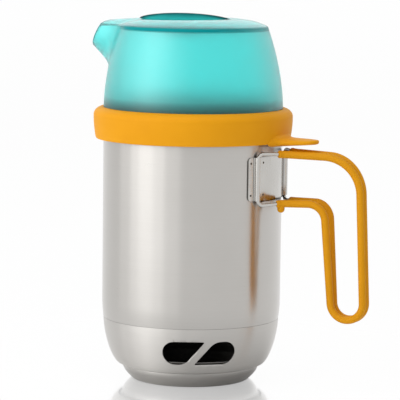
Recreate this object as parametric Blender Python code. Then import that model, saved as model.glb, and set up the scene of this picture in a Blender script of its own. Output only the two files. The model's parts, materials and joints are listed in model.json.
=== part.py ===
"""Camping kettle pot: a drawn steel pot on a vented skirt, with a spouted lid,
a silicone seal band and a fold-away wire handle in two loops.

Metres, +Z up. The part stands on z = 0. The pot's axis is vertical at x = AXIS_X, the
handle points along +X and the spout along -X, so that the origin lies under the middle
of the whole part. Below, every piece is modelled around the pot's own axis and is then
parented to an empty on that axis.
"""
import math

import bmesh
import bpy
from mathutils import Vector

# Sheet metal and running clearances
SHEET = 0.0008
BRACKET_SHEET = 0.0006
GAP = 0.0003
PIN_CLEARANCE = 0.0003
PIN_WALL_CLEARANCE = 0.0005
NEST_CLEARANCE = 0.0007
CUT_MARGIN = 0.0100
SEGMENTS = 48

# Pot
POT_RADIUS = 0.0660
POT_SHOULDER_DRAW = 0.0010
POT_SHOULDER_RADIUS = POT_RADIUS - POT_SHOULDER_DRAW
POT_SHOULDER_HEIGHT = 0.0150
POT_SEAM_STEP = 0.0006
POT_RIM_Z = 0.1890
RIM_BEAD_RADIUS = 0.0015
FLOOR_CORNER_RADIUS = 0.0050

# Skirt round the pot's foot
SKIRT_BOTTOM_Z = 0.0118
SKIRT_HEIGHT = 0.0342
SKIRT_TOP_Z = SKIRT_BOTTOM_Z + SKIRT_HEIGHT
SKIRT_TOP_RADIUS = POT_SHOULDER_RADIUS
SKIRT_DRAW = 0.0117
SKIRT_BOTTOM_RADIUS = SKIRT_TOP_RADIUS - SKIRT_DRAW
SKIRT_FULLNESS = 1.6
FLOOR_DROP = 0.0074

# Air vents: two teardrops with a slanting bar between them, repeated round the skirt
VENT_COUNT = 3
VENT_HEADING = math.radians(61)
VENT_HALF_WIDTH = 0.0271
VENT_HALF_HEIGHT = 0.0088
VENT_LIFT = 0.0161
VENT_Z = SKIRT_BOTTOM_Z + VENT_LIFT
VENT_BAR = 0.0069
VENT_BAR_ANGLE = math.radians(50)
VENT_CORNER_RADIUS = 0.0050

# Base ring
RING_STEP = 0.0028
RING_SHOULDER_RADIUS = SKIRT_BOTTOM_RADIUS - RING_STEP
RING_SHOULDER_DROP = 0.0008
RING_SHOULDER_Z = SKIRT_BOTTOM_Z - RING_SHOULDER_DROP
RING_DISH = 0.0075
FOOT_RADIUS = RING_SHOULDER_RADIUS - RING_DISH
FOOT_WIDTH = 0.0030
RING_FLANGE_START = 0.0012
RING_FLANGE_HEIGHT = 0.0045

# Seal band, which caps the pot's rim and carries the lid
BAND_WALL = 0.0074
BAND_RADIUS = POT_RADIUS + BAND_WALL
BAND_DROP = 0.0105
BAND_BOTTOM_Z = POT_RIM_Z - BAND_DROP
BAND_SHOULDER = 0.0065
BAND_WIDEST_Z = POT_RIM_Z + BAND_SHOULDER
BAND_TAPER = 0.0017
BAND_WEB = 0.0027
BAND_PLUG_DEPTH = 0.0088
BAND_PLUG_WALL = 0.0032
BAND_PLUG_LEAD = 0.0010
BAND_LIP_HEIGHT = 0.0040
BAND_SKIRT_CLEARANCE = 0.0004

# Pull tab on the band
TAB_LENGTH = 0.0261
TAB_REACH = BAND_RADIUS + TAB_LENGTH
TAB_HALF_WIDTH = 0.0110
TAB_ROOT_FLARE = 0.0080
TAB_ROOT_THICK = 0.0072
TAB_TIP_THICK = 0.0028
TAB_LIFT = 0.0009
TAB_Z = BAND_BOTTOM_Z + TAB_LIFT
TAB_RISE = 0.0008
TAB_FLARE_LENGTH = 0.0035
TAB_ROOT_SINK = 0.0009

# Lid
LID_WALL = 0.0020
LID_RADIUS = POT_RADIUS
LID_TAPER = 0.0116
LID_TOP_RADIUS = LID_RADIUS - LID_TAPER
LID_FOOT_REACH = 0.0025
LID_FOOT_THICK = 0.0020
LID_FOOT_Z = POT_RIM_Z + GAP + BAND_WEB + GAP
LID_SEAT_RISE = 0.0060
LID_SEAT_Z = BAND_WIDEST_Z + LID_SEAT_RISE
LID_HEIGHT = 0.0588
LID_SHOULDER_Z = LID_SEAT_Z + LID_HEIGHT
LID_CROWN = 0.0067
LID_EDGE_RISE = 0.0009
LID_CROWN_POWER = 5.0
SPOUT_CROWN_POWER = 2.2
LID_TAPER_POWER = 1.8

# Spout
SPOUT_LENGTH = 0.0160
SPOUT_REACH = LID_RADIUS + SPOUT_LENGTH
SPOUT_GROWTH = 0.0357
SPOUT_HEIGHT = 0.0413
SPOUT_ROOT_Z = LID_SHOULDER_Z - SPOUT_HEIGHT
SPOUT_FULL_DROP = 0.0003
SPOUT_FULL_Z = LID_SHOULDER_Z - SPOUT_FULL_DROP
SPOUT_SPREAD = math.radians(10)
MOUTH_LIP_DROP = 0.0178
MOUTH_LIP_Z = LID_SHOULDER_Z - MOUTH_LIP_DROP
MOUTH_TILT = math.radians(57.3)

# Finger dish in the lid's top, and the fin across it
DISH_OFFSET = 0.0073
DISH_RADIUS = 0.0340
DISH_DEPTH = 0.0100
DISH_RIM_DROP = 0.0006
FIN_THICK = 0.0030
FIN_RISE = 0.0048
FIN_SINK = 0.0008
FIN_END_CLEARANCE = 0.0005

# Handle loops: steel wire in silicone sleeves
WIRE_RADIUS = 0.0014
SLEEVE_RADIUS = 0.00275
SLEEVE_BORE = 0.00175
LOOP_HALF_GAP = 0.0029
LOOP_SPREAD = 0.0030
HANDLE_LENGTH = 0.0747
HANDLE_REACH = POT_RADIUS + HANDLE_LENGTH
HINGE_ANGLE = math.radians(21.3)
ELBOW_LENGTH = 0.0110
ELBOW_X = POT_RADIUS + ELBOW_LENGTH
ELBOW_Y = 0.0100
ELBOW_BEND = 0.0080
SLEEVE_START = 0.0075
SLEEVE_START_X = POT_RADIUS + SLEEVE_START
HANDLE_DROP = 0.0067
HANDLE_TOP_Z = BAND_BOTTOM_Z - HANDLE_DROP
HANDLE_SPREAD = 0.0376
HANDLE_LOW_Z = HANDLE_TOP_Z - HANDLE_SPREAD
HANDLE_HEIGHT = 0.1189
HANDLE_FOOT_Z = HANDLE_TOP_Z - HANDLE_HEIGHT
GRIP_WIDTH = 0.0245
LEG_LEAN = 0.0052
INNER_LEG_LEAN = 0.0062
TOP_LEG_FALL = 0.0018
LOW_LEG_RISE = 0.0020
BIG_BEND = 0.0275
SMALL_BEND = 0.0125
TURN_RADIUS = 0.0122
PIN_LENGTH = 0.0110
PIN_BEND = 0.0024
NUB_RADIUS = 0.0024
NUB_LENGTH = 0.0064
NUB_INSET = 0.0022

# Hinge bracket
BRACKET_END_GAP = 0.00305
BRACKET_HALF_HEIGHT = HANDLE_SPREAD / 2 - BRACKET_END_GAP
BRACKET_PANEL_EXTRA = 0.0011
BRACKET_HALF_ANGLE = math.radians(28.2)
BRACKET_CORNER = 0.0025
BRACKET_OFFSET_Z = 0.0006
PANEL_EDGE_INSET = 0.0006
PANEL_CORNER = 0.0008
WELD_RADIUS = 0.0007
WELD_DEPTH = 0.00025
WELD_END_INSET = 0.00415
WELD_HALF_SPACING = BRACKET_HALF_HEIGHT - WELD_END_INSET
WELD_OUTER_TURN = math.radians(4.8)
WELD_INNER_TURN = math.radians(6.1)

# Worked out from the sizes above
AXIS_X = (SPOUT_REACH - HANDLE_REACH) / 2
FLOOR_Z = SKIRT_TOP_Z - FLOOR_DROP
KNUCKLE_INNER = WIRE_RADIUS + PIN_CLEARANCE
KNUCKLE_OUTER = KNUCKLE_INNER + BRACKET_SHEET
HINGE_RADIUS = POT_RADIUS + PIN_WALL_CLEARANCE + WIRE_RADIUS
HINGE_X = HINGE_RADIUS * math.cos(HINGE_ANGLE)
HINGE_Y = HINGE_RADIUS * math.sin(HINGE_ANGLE)
BRACKET_Z = (HANDLE_TOP_Z + HANDLE_LOW_Z) / 2 + BRACKET_OFFSET_Z
DISH_RIM_Z = LID_SHOULDER_Z + LID_CROWN - DISH_RIM_DROP


def material(name, colour, roughness, metallic):
    """A Principled material of one colour."""
    made = bpy.data.materials.new(name)
    made.use_nodes = True
    shader = made.node_tree.nodes["Principled BSDF"]
    shader.inputs["Base Color"].default_value = (*colour, 1.0)
    shader.inputs["Roughness"].default_value = roughness
    shader.inputs["Metallic"].default_value = metallic
    return made


def add_object(name, mesh_data, finish, parent):
    """Wrap a bmesh in an object, with its faces pointing out."""
    bmesh.ops.recalc_face_normals(mesh_data, faces=mesh_data.faces)
    mesh = bpy.data.meshes.new(name)
    mesh_data.to_mesh(mesh)
    mesh_data.free()
    mesh.shade_smooth()
    mesh.set_sharp_from_angle(angle=math.radians(35))
    made = bpy.data.objects.new(name, mesh)
    if finish is not None:
        mesh.materials.append(finish)
    bpy.context.collection.objects.link(made)
    made.parent = parent
    return made


def add_cutter(name, mesh_data, parent):
    """A solid that only shapes another one."""
    made = add_object(name, mesh_data, None, parent)
    made.hide_render = True
    made.display_type = "WIRE"
    return made


def boolean(target, cutter, operation):
    step = target.modifiers.new(operation.title(), "BOOLEAN")
    step.object = cutter
    step.operation = operation
    step.solver = "EXACT"


def empty_at(name, position, parent=None):
    made = bpy.data.objects.new(name, None)
    made.location = position
    made.parent = parent
    bpy.context.collection.objects.link(made)
    return made


def arc(centre, radius, start, end, steps):
    """Points of an arc in a plane, angles in degrees, both ends included."""
    angles = [math.radians(start + (end - start) * i / steps) for i in range(steps + 1)]
    return [(centre[0] + radius * math.cos(a), centre[1] + radius * math.sin(a)) for a in angles]


def shifted(line, distance):
    """The polyline moved sideways to its left by a distance, with mitred corners."""
    moved = []
    for i, point in enumerate(line):
        here = Vector(point)
        before = Vector(line[max(i - 1, 0)])
        after = Vector(line[min(i + 1, len(line) - 1)])
        sides = [v.normalized() for v in (here - before, after - here) if v.length > 1e-9]
        normals = [Vector((-v.y, v.x)) for v in sides]
        middle = sum(normals, Vector((0, 0))).normalized()
        moved.append(tuple(here + middle * distance / max(middle.dot(normals[0]), 0.5)))
    return moved


def turned(outline, closed, segments=SEGMENTS):
    """Spin (radius, z) points round the axis. An open outline starts and ends on the axis."""
    built = bmesh.new()
    rings = []
    for radius, z in outline:
        if radius < 1e-6:
            rings.append([built.verts.new((0, 0, z))] * segments)
            continue
        turns = [2 * math.pi * i / segments for i in range(segments)]
        rings.append([built.verts.new((radius * math.cos(a), radius * math.sin(a), z)) for a in turns])
    pairs = list(zip(rings, rings[1:]))
    if closed:
        pairs.append((rings[-1], rings[0]))
    for low, high in pairs:
        for i in range(segments):
            j = (i + 1) % segments
            corners = [low[i], low[j], high[j], high[i]]
            built.faces.new(list(dict.fromkeys(corners)))
    return built


def prism(outline, low, high, place):
    """Extrude a flat outline between two depths; place(a, b, depth) gives each corner."""
    built = bmesh.new()
    ends = [[built.verts.new(place(a, b, depth)) for a, b in outline] for depth in (low, high)]
    built.faces.new(ends[0])
    built.faces.new(ends[1])
    for i in range(len(outline)):
        j = (i + 1) % len(outline)
        built.faces.new([ends[0][i], ends[0][j], ends[1][j], ends[1][i]])
    return built


def rounded_path(corners, steps_per_turn=16):
    """A 3-D path through (point, radius) corners, each rounded by an arc of its radius."""
    points = [Vector(corners[0][0])]
    for (before, _), (corner, radius), (after, _) in zip(corners, corners[1:], corners[2:]):
        corner = Vector(corner)
        back = (Vector(before) - corner).normalized()
        ahead = (Vector(after) - corner).normalized()
        turn = math.pi - back.angle(ahead)
        reach = radius * math.tan(turn / 2)
        start = corner + back * reach
        centre = corner + (back + ahead).normalized() * radius / math.cos(turn / 2)
        steps = max(2, round(steps_per_turn * turn / (2 * math.pi)))
        spoke = start - centre
        axis = back.cross(ahead).normalized()
        for i in range(steps + 1):
            angle = -turn * i / steps
            turned_spoke = (spoke * math.cos(angle) + axis.cross(spoke) * math.sin(angle)
                            + axis * axis.dot(spoke) * (1 - math.cos(angle)))
            points.append(centre + turned_spoke)
    points.append(Vector(corners[-1][0]))
    return points


def tube(path, radius, sides=8):
    """A round bar along a path, closed at both ends."""
    built = bmesh.new()
    rings = []
    across = None
    for i, point in enumerate(path):
        along = (path[min(i + 1, len(path) - 1)] - path[max(i - 1, 0)]).normalized()
        if across is None:
            across = along.orthogonal().normalized()
        across = (across - along * across.dot(along)).normalized()
        up = along.cross(across)
        turns = [2 * math.pi * k / sides for k in range(sides)]
        rings.append([built.verts.new(point + across * radius * math.cos(a) + up * radius * math.sin(a))
                      for a in turns])
    for low, high in zip(rings, rings[1:]):
        for k in range(sides):
            j = (k + 1) % sides
            built.faces.new([low[k], low[j], high[j], high[k]])
    built.faces.new(rings[0])
    built.faces.new(rings[-1])
    return built


# Pot, skirt and base ring

def skirt_line(start_z, end_z, steps):
    """The skirt's outer side, a superellipse quarter that closes in towards the foot."""
    line = []
    for i in range(steps + 1):
        z = start_z + (end_z - start_z) * (i / steps) ** 1.5
        share = min(max((z - SKIRT_BOTTOM_Z) / (SKIRT_TOP_Z - SKIRT_BOTTOM_Z), 0), 1)
        swell = (1 - (1 - share) ** SKIRT_FULLNESS) ** (1 / SKIRT_FULLNESS)
        line.append((SKIRT_BOTTOM_RADIUS + (SKIRT_TOP_RADIUS - SKIRT_BOTTOM_RADIUS) * swell, z))
    return line


def build_pot(finish, parent):
    """Deep-drawn pot: floor, a foot that sits inside the skirt, shoulder, wall and rolled rim."""
    nested = SKIRT_TOP_RADIUS - SHEET - NEST_CLEARANCE
    corner = (nested - FLOOR_CORNER_RADIUS, FLOOR_Z + FLOOR_CORNER_RADIUS)
    seam_z = SKIRT_TOP_Z + GAP
    outer = [(0, FLOOR_Z)] + arc(corner, FLOOR_CORNER_RADIUS, -90, 0, 3)
    outer += [(nested, seam_z), (POT_SHOULDER_RADIUS, seam_z + POT_SEAM_STEP)]
    swell = POT_RADIUS - POT_SHOULDER_RADIUS
    for share in (0.3, 0.6, 1.0):
        rise = swell * (1 - (1 - share) ** 2)
        outer.append((POT_SHOULDER_RADIUS + rise, seam_z + POT_SEAM_STEP + share * POT_SHOULDER_HEIGHT))
    outer.append((POT_RADIUS, POT_RIM_Z - 2 * RIM_BEAD_RADIUS))
    inner = shifted(outer, SHEET)
    bead = (POT_RADIUS - SHEET + RIM_BEAD_RADIUS, POT_RIM_Z - RIM_BEAD_RADIUS)
    start = math.degrees(math.acos((SHEET - RIM_BEAD_RADIUS) / RIM_BEAD_RADIUS))
    outline = outer + arc(bead, RIM_BEAD_RADIUS, -start, 180, 6) + inner[::-1]
    outline[-1] = (0, FLOOR_Z + SHEET)
    return add_object("pot_body", turned(outline, closed=False), finish, parent)


def vent_outline():
    """One teardrop of a vent, as (arc length, height) about the vent's middle."""
    run = 2 * VENT_HALF_HEIGHT / math.tan(VENT_BAR_ANGLE)
    tip = ((run - VENT_BAR) / 2, VENT_HALF_HEIGHT)
    heel = (tip[0] - run, -VENT_HALF_HEIGHT)
    reach = VENT_CORNER_RADIUS * math.tan(VENT_BAR_ANGLE / 2)
    end = (-(VENT_HALF_WIDTH - VENT_HALF_HEIGHT), 0)
    outline = arc(end, VENT_HALF_HEIGHT, 90, 270, 8)
    heel_centre = (heel[0] - reach, heel[1] + VENT_CORNER_RADIUS)
    outline += arc(heel_centre, VENT_CORNER_RADIUS, -90, -90 + math.degrees(VENT_BAR_ANGLE), 3)
    return outline + [tip]


def build_skirt(finish, parent):
    outer = skirt_line(SKIRT_BOTTOM_Z, SKIRT_TOP_Z, 8)
    skirt = turned(outer + shifted(outer, SHEET)[::-1], closed=True)
    skirt = add_object("heat_skirt", skirt, finish, parent)
    middle_radius = skirt_line(VENT_Z, VENT_Z, 1)[0][0]
    outline = vent_outline()
    for vent in range(VENT_COUNT):
        heading = VENT_HEADING + 2 * math.pi * vent / VENT_COUNT
        for flip in (1, -1):
            def wrap(a, b, depth, heading=heading, flip=flip):
                turn = heading + flip * a / middle_radius
                return (depth * math.cos(turn), depth * math.sin(turn), VENT_Z + flip * b)
            cut = prism(outline, 0.8 * SKIRT_BOTTOM_RADIUS, 1.3 * SKIRT_TOP_RADIUS, wrap)
            boolean(skirt, add_cutter(f"vent_cut_{vent}_{flip}", cut, parent), "DIFFERENCE")
    return skirt


def build_base_ring(finish, parent):
    """The foot ring: a flat lip to stand on, a dished side, and a flange inside the skirt."""
    side = [(FOOT_RADIUS, 0)]
    for share in (0.3, 0.6, 0.87, 1.0):
        rise = RING_SHOULDER_Z * share
        grown = (RING_SHOULDER_RADIUS - FOOT_RADIUS) * math.sin(share * math.pi / 2)
        side.append((FOOT_RADIUS + grown, rise))
    flange_top = SKIRT_BOTTOM_Z + RING_FLANGE_HEIGHT
    side += shifted(skirt_line(SKIRT_BOTTOM_Z + RING_FLANGE_START, flange_top, 2), SHEET + GAP)
    lip = FOOT_RADIUS - FOOT_WIDTH
    inner = shifted(side, SHEET)[1:]
    outline = [(lip, 0)] + side + inner[::-1] + [(FOOT_RADIUS - SHEET / 2, SHEET), (lip, SHEET)]
    return add_object("base_ring", turned(outline, closed=True), finish, parent)


# Lid

def lid_radius(z):
    """Outer radius of the lid's wall away from the spout."""
    share = min(max((z - LID_SEAT_Z) / (LID_SHOULDER_Z - LID_SEAT_Z), 0), 1)
    return LID_RADIUS - (LID_RADIUS - LID_TOP_RADIUS) * share ** LID_TAPER_POWER


def spout_push(turn, z):
    """How far the spout stands out of the round wall at a heading and a height."""
    share = min(max((z - SPOUT_ROOT_Z) / (SPOUT_FULL_Z - SPOUT_ROOT_Z), 0), 1)
    height = share * share * (3 - 2 * share)
    off_middle = abs(turn) - math.pi
    return SPOUT_GROWTH * height * math.exp(-0.5 * (off_middle / SPOUT_SPREAD) ** 2)


def lid_headings():
    """Headings round the lid, closer together at the spout."""
    coarse = math.radians(8)
    fine = math.radians(3.2)
    spout_side = [-math.pi + fine * i for i in range(-9, 10)]
    count = round((2 * math.pi - 18 * fine) / coarse)
    step = (2 * math.pi - 18 * fine) / count
    return spout_side + [spout_side[-1] + step * i for i in range(1, count)]


def lid_solid(inset):
    """The lid's outer form with its foot flange, or its hollow when inset is a wall."""
    headings = [math.atan2(math.sin(a), math.cos(a)) for a in lid_headings()]
    built = bmesh.new()
    rings = []
    heights = [LID_SEAT_Z]
    heights += [LID_SEAT_Z + (SPOUT_ROOT_Z - LID_SEAT_Z) * share for share in (0.5, 1.0)]
    heights += [SPOUT_ROOT_Z + (SPOUT_FULL_Z - SPOUT_ROOT_Z) * share for share in (0.2, 0.4, 0.6, 0.8)]
    heights.append(LID_SHOULDER_Z - inset)
    foot_top = LID_FOOT_Z + LID_FOOT_THICK
    stations = [(z, lid_radius(z) - inset) for z in heights]
    if inset:
        stations.insert(0, (LID_FOOT_Z - CUT_MARGIN, LID_RADIUS - inset))
    else:
        foot = LID_RADIUS + LID_FOOT_REACH
        stations = [(LID_FOOT_Z, foot), (foot_top, foot), (foot_top, LID_RADIUS)] + stations
    for z, round_radius in stations:
        ring = []
        for turn in headings:
            radius = round_radius + spout_push(turn, z)
            ring.append(built.verts.new((radius * math.cos(turn), radius * math.sin(turn), z)))
        rings.append(ring)
    crown_top = LID_SHOULDER_Z + LID_CROWN - inset
    for share in (0.985, 0.93, 0.8, 0.6, 0.3):
        ring = []
        for turn in headings:
            nose = math.exp(-0.5 * ((abs(turn) - math.pi) / (2 * SPOUT_SPREAD)) ** 2)
            power = LID_CROWN_POWER + (SPOUT_CROWN_POWER - LID_CROWN_POWER) * nose
            fall = (LID_CROWN - LID_EDGE_RISE) * share ** power
            radius = share * (lid_radius(LID_SHOULDER_Z) + spout_push(turn, LID_SHOULDER_Z) - inset)
            ring.append(built.verts.new((radius * math.cos(turn), radius * math.sin(turn), crown_top - fall)))
        rings.append(ring)
    for low, high in zip(rings, rings[1:]):
        for i in range(len(headings)):
            j = (i + 1) % len(headings)
            built.faces.new([low[i], low[j], high[j], high[i]])
    built.faces.new(rings[0])
    middle = built.verts.new((0, 0, crown_top))
    for i in range(len(headings)):
        built.faces.new([rings[-1][i], rings[-1][(i + 1) % len(headings)], middle])
    return built


def dish_ball(grow):
    """The ball that presses the finger dish into the lid's top; grow adds a wall below it."""
    radius = (DISH_RADIUS ** 2 + DISH_DEPTH ** 2) / (2 * DISH_DEPTH)
    centre_z = DISH_RIM_Z - DISH_DEPTH + radius
    spread = math.degrees(math.asin(min(1.25 * DISH_RADIUS / radius, 1)))
    profile = arc((0, centre_z), radius + grow, -90, -90 + spread, 6)
    above = DISH_RIM_Z + 2 * CUT_MARGIN
    profile += [(profile[-1][0], above), (0, above)]
    return turned([(0, profile[0][1])] + profile[1:], closed=False, segments=36), radius, centre_z


def build_lid(finish, parent):
    """One moulded shell: tapered wall with a foot flange, domed top, beak, finger dish and fin."""
    lid = add_object("lid_shell", lid_solid(0), finish, parent)
    ball, radius, centre_z = dish_ball(0)
    ball = add_cutter("dish_form", ball, parent)
    ball.location.x = -DISH_OFFSET
    boolean(lid, ball, "DIFFERENCE")
    hollow = add_cutter("lid_hollow", lid_solid(LID_WALL), parent)
    back = add_cutter("dish_back", dish_ball(LID_WALL)[0], parent)
    back.location.x = -DISH_OFFSET
    boolean(hollow, back, "DIFFERENCE")
    boolean(lid, hollow, "DIFFERENCE")
    half = DISH_RADIUS - FIN_END_CLEARANCE
    crest = [(half * math.cos(math.pi * i / 10), DISH_RIM_Z - FIN_SINK + FIN_RISE * math.sin(math.pi * i / 10))
             for i in range(11)]
    half_angle = math.degrees(math.asin(half / (radius + LID_WALL / 2)))
    belly = arc((0, centre_z), radius + LID_WALL / 2, -90 - half_angle, -90 + half_angle, 8)
    fin = prism(crest + belly, -FIN_THICK / 2, FIN_THICK / 2, lambda a, b, depth: (a, depth, b))
    fin = add_cutter("fin_form", fin, parent)
    fin.location.x = -DISH_OFFSET
    boolean(lid, fin, "UNION")
    cut = SPOUT_REACH / 2
    mouth = prism([(0, -cut), (0, cut), (cut, cut), (cut, -cut)], -cut, cut, lambda a, b, depth: (-a, depth, b))
    mouth = add_cutter("mouth_cut", mouth, parent)
    mouth.location = (-SPOUT_REACH, 0, MOUTH_LIP_Z)
    mouth.rotation_euler.y = math.pi / 2 - MOUTH_TILT
    boolean(lid, mouth, "DIFFERENCE")
    return lid


# Seal band

def build_seal(finish, parent):
    """Silicone band: grips the lid's foot above and caps the pot's rim below, with a pull tab."""
    outer = []
    for i in range(5):
        z = BAND_BOTTOM_Z + (BAND_WIDEST_Z - BAND_BOTTOM_Z) * i / 4
        drop = ((BAND_WIDEST_Z - z) / (BAND_WIDEST_Z - BAND_BOTTOM_Z)) ** 2
        outer.append((BAND_RADIUS - BAND_TAPER * drop, z))
    groove = LID_RADIUS + GAP
    for i in range(1, 6):
        angle = math.pi / 2 * i / 5
        outer.append((groove + (BAND_RADIUS - groove) * math.cos(angle),
                      BAND_WIDEST_Z + (LID_SEAT_Z - BAND_WIDEST_Z) * math.sin(angle)))
    foot_top = LID_FOOT_Z + LID_FOOT_THICK + GAP
    foot_side = LID_RADIUS + LID_FOOT_REACH + GAP
    web_bottom = POT_RIM_Z + GAP
    web_top = web_bottom + BAND_WEB
    lid_inner = LID_RADIUS - LID_WALL - GAP
    plug_outer = POT_RADIUS - SHEET - GAP
    plug_inner = plug_outer - BAND_PLUG_WALL
    skirt_inner = POT_RADIUS - SHEET + 2 * RIM_BEAD_RADIUS + BAND_SKIRT_CLEARANCE
    lip_top = web_top + BAND_LIP_HEIGHT
    plug_end = web_bottom - BAND_PLUG_DEPTH
    outline = outer + [(groove, foot_top), (foot_side, foot_top), (foot_side, web_top), (lid_inner, web_top),
                       (lid_inner, lip_top), (plug_inner, lip_top), (plug_inner, plug_end),
                       (plug_outer - BAND_PLUG_LEAD, plug_end), (plug_outer, plug_end + BAND_PLUG_LEAD),
                       (plug_outer, web_bottom), (skirt_inner, web_bottom), (skirt_inner, BAND_BOTTOM_Z)]
    seal = add_object("seal_ring", turned(outline, closed=True), finish, parent)
    boolean(seal, add_cutter("tab_form", tab_mesh(skirt_inner), parent), "UNION")
    return seal


def tab_mesh(band_inner):
    """The pull tab: a wedge that flares into the band and ends in a round tip."""
    root_x = band_inner + TAB_ROOT_SINK
    stations = 9
    sides = 10
    built = bmesh.new()
    rings = []
    for i in range(stations + 1):
        share = math.sin(math.pi / 2 * i / stations)
        x = root_x + (TAB_REACH - root_x) * share
        thick = TAB_ROOT_THICK + (TAB_TIP_THICK - TAB_ROOT_THICK) * share
        beyond = max(x - (TAB_REACH - TAB_HALF_WIDTH), 0)
        width = math.sqrt(max(TAB_HALF_WIDTH ** 2 - beyond ** 2, 0))
        width += TAB_ROOT_FLARE * math.exp(-(x - root_x) / TAB_FLARE_LENGTH)
        if i == stations:
            width, thick = TAB_HALF_WIDTH * 0.2, TAB_TIP_THICK * 0.5
        z = TAB_Z + TAB_RISE * share
        ring = []
        for k in range(sides):
            a = 2 * math.pi * (k + 0.5) / sides
            flat = math.copysign(abs(math.cos(a)) ** 0.6, math.cos(a))
            tall = math.copysign(abs(math.sin(a)) ** 0.6, math.sin(a))
            ring.append(built.verts.new((x, width * flat, z + thick / 2 * tall)))
        rings.append(ring)
    for low, high in zip(rings, rings[1:]):
        for k in range(sides):
            j = (k + 1) % sides
            built.faces.new([low[k], low[j], high[j], high[k]])
    built.faces.new(rings[0])
    built.faces.new(rings[-1])
    return built


# Handle

def loop_path(side):
    """Centre line of one wire loop about its hinge; side is -1 at the front and 1 at the back."""
    far_x = HANDLE_REACH - SLEEVE_RADIUS
    near_x = far_x - GRIP_WIDTH
    top, low, foot = HANDLE_TOP_Z, HANDLE_LOW_Z, HANDLE_FOOT_Z
    spread = LOOP_HALF_GAP + LOOP_SPREAD
    corners = [
        ((HINGE_X, HINGE_Y, top - PIN_LENGTH), 0),
        ((HINGE_X, HINGE_Y, top), PIN_BEND),
        ((ELBOW_X, ELBOW_Y, top - TOP_LEG_FALL / 3), ELBOW_BEND),
        ((far_x - LEG_LEAN, LOOP_HALF_GAP, top - TOP_LEG_FALL), BIG_BEND),
        ((far_x, LOOP_HALF_GAP, foot), TURN_RADIUS),
        ((near_x, LOOP_HALF_GAP, foot), TURN_RADIUS),
        ((near_x - INNER_LEG_LEAN, spread, low + LOW_LEG_RISE), SMALL_BEND),
        ((ELBOW_X, ELBOW_Y, low + LOW_LEG_RISE * 2 / 3), ELBOW_BEND),
        ((HINGE_X, HINGE_Y, low), PIN_BEND),
        ((HINGE_X, HINGE_Y, low + PIN_LENGTH), 0),
    ]
    return [Vector((p.x - HINGE_X, side * (p.y - HINGE_Y), p.z)) for p in rounded_path(corners)]


def sleeved(path):
    """The stretch of a loop's centre line that its sleeve covers."""
    start = SLEEVE_START_X - HINGE_X
    inside = [i for i, p in enumerate(path) if p.x > start]
    first, last = inside[0], inside[-1]
    ends = []
    for outer, inner in ((path[first - 1], path[first]), (path[last + 1], path[last])):
        ends.append(outer.lerp(inner, (start - outer.x) / (inner.x - outer.x)))
    return [ends[0]] + path[first:last + 1] + [ends[1]]


def build_loop(name, side, steel, silicone, parent):
    hinge = empty_at(f"{name}_hinge", (HINGE_X, side * HINGE_Y, 0), parent)
    path = loop_path(side)
    add_object(f"{name}_wire", tube(path, WIRE_RADIUS), steel, hinge)
    covered = sleeved(path)
    sleeve = add_object(f"{name}_sleeve", tube(covered, SLEEVE_RADIUS), silicone, hinge)
    if side < 0:
        root = covered[-1].lerp(covered[-2], NUB_INSET / (covered[-1] - covered[-2]).length)
        nub = tube([root, root - Vector((0, 0, NUB_LENGTH))], NUB_RADIUS)
        boolean(sleeve, add_cutter(f"{name}_nub", nub, hinge), "UNION")
    bore = [covered[0] + (covered[0] - covered[1]).normalized() * SLEEVE_RADIUS] + covered
    bore.append(covered[-1] + (covered[-1] - covered[-2]).normalized() * SLEEVE_RADIUS)
    boolean(sleeve, add_cutter(f"{name}_bore", tube(bore, SLEEVE_BORE), hinge), "DIFFERENCE")


# Bracket

def bracket_line():
    """The bracket's sheet in plan, at mid thickness: flange, knuckle, panel, knuckle, flange."""
    flat = POT_RADIUS + GAP + BRACKET_SHEET / 2
    bend = (KNUCKLE_INNER + KNUCKLE_OUTER) / 2
    half = bend / HINGE_RADIUS

    def on_wall(angle):
        return (flat * math.cos(angle), flat * math.sin(angle))

    middle = Vector((HINGE_X, HINGE_Y))
    knuckle = arc((0, 0), bend, -90, 90, 6)
    out = Vector((math.cos(HINGE_ANGLE), math.sin(HINGE_ANGLE)))
    across = Vector((-out.y, out.x))
    wrap = [tuple(middle + out * a + across * b) for a, b in knuckle]
    panel = [on_wall((HINGE_ANGLE - half) * i / 3) for i in range(4)]
    flange = [on_wall(HINGE_ANGLE + half + (BRACKET_HALF_ANGLE - HINGE_ANGLE - half) * i / 2) for i in range(3)]
    upper = panel + wrap + flange
    lower = [(x, -y) for x, y in upper[:0:-1]]
    return lower + upper


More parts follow.
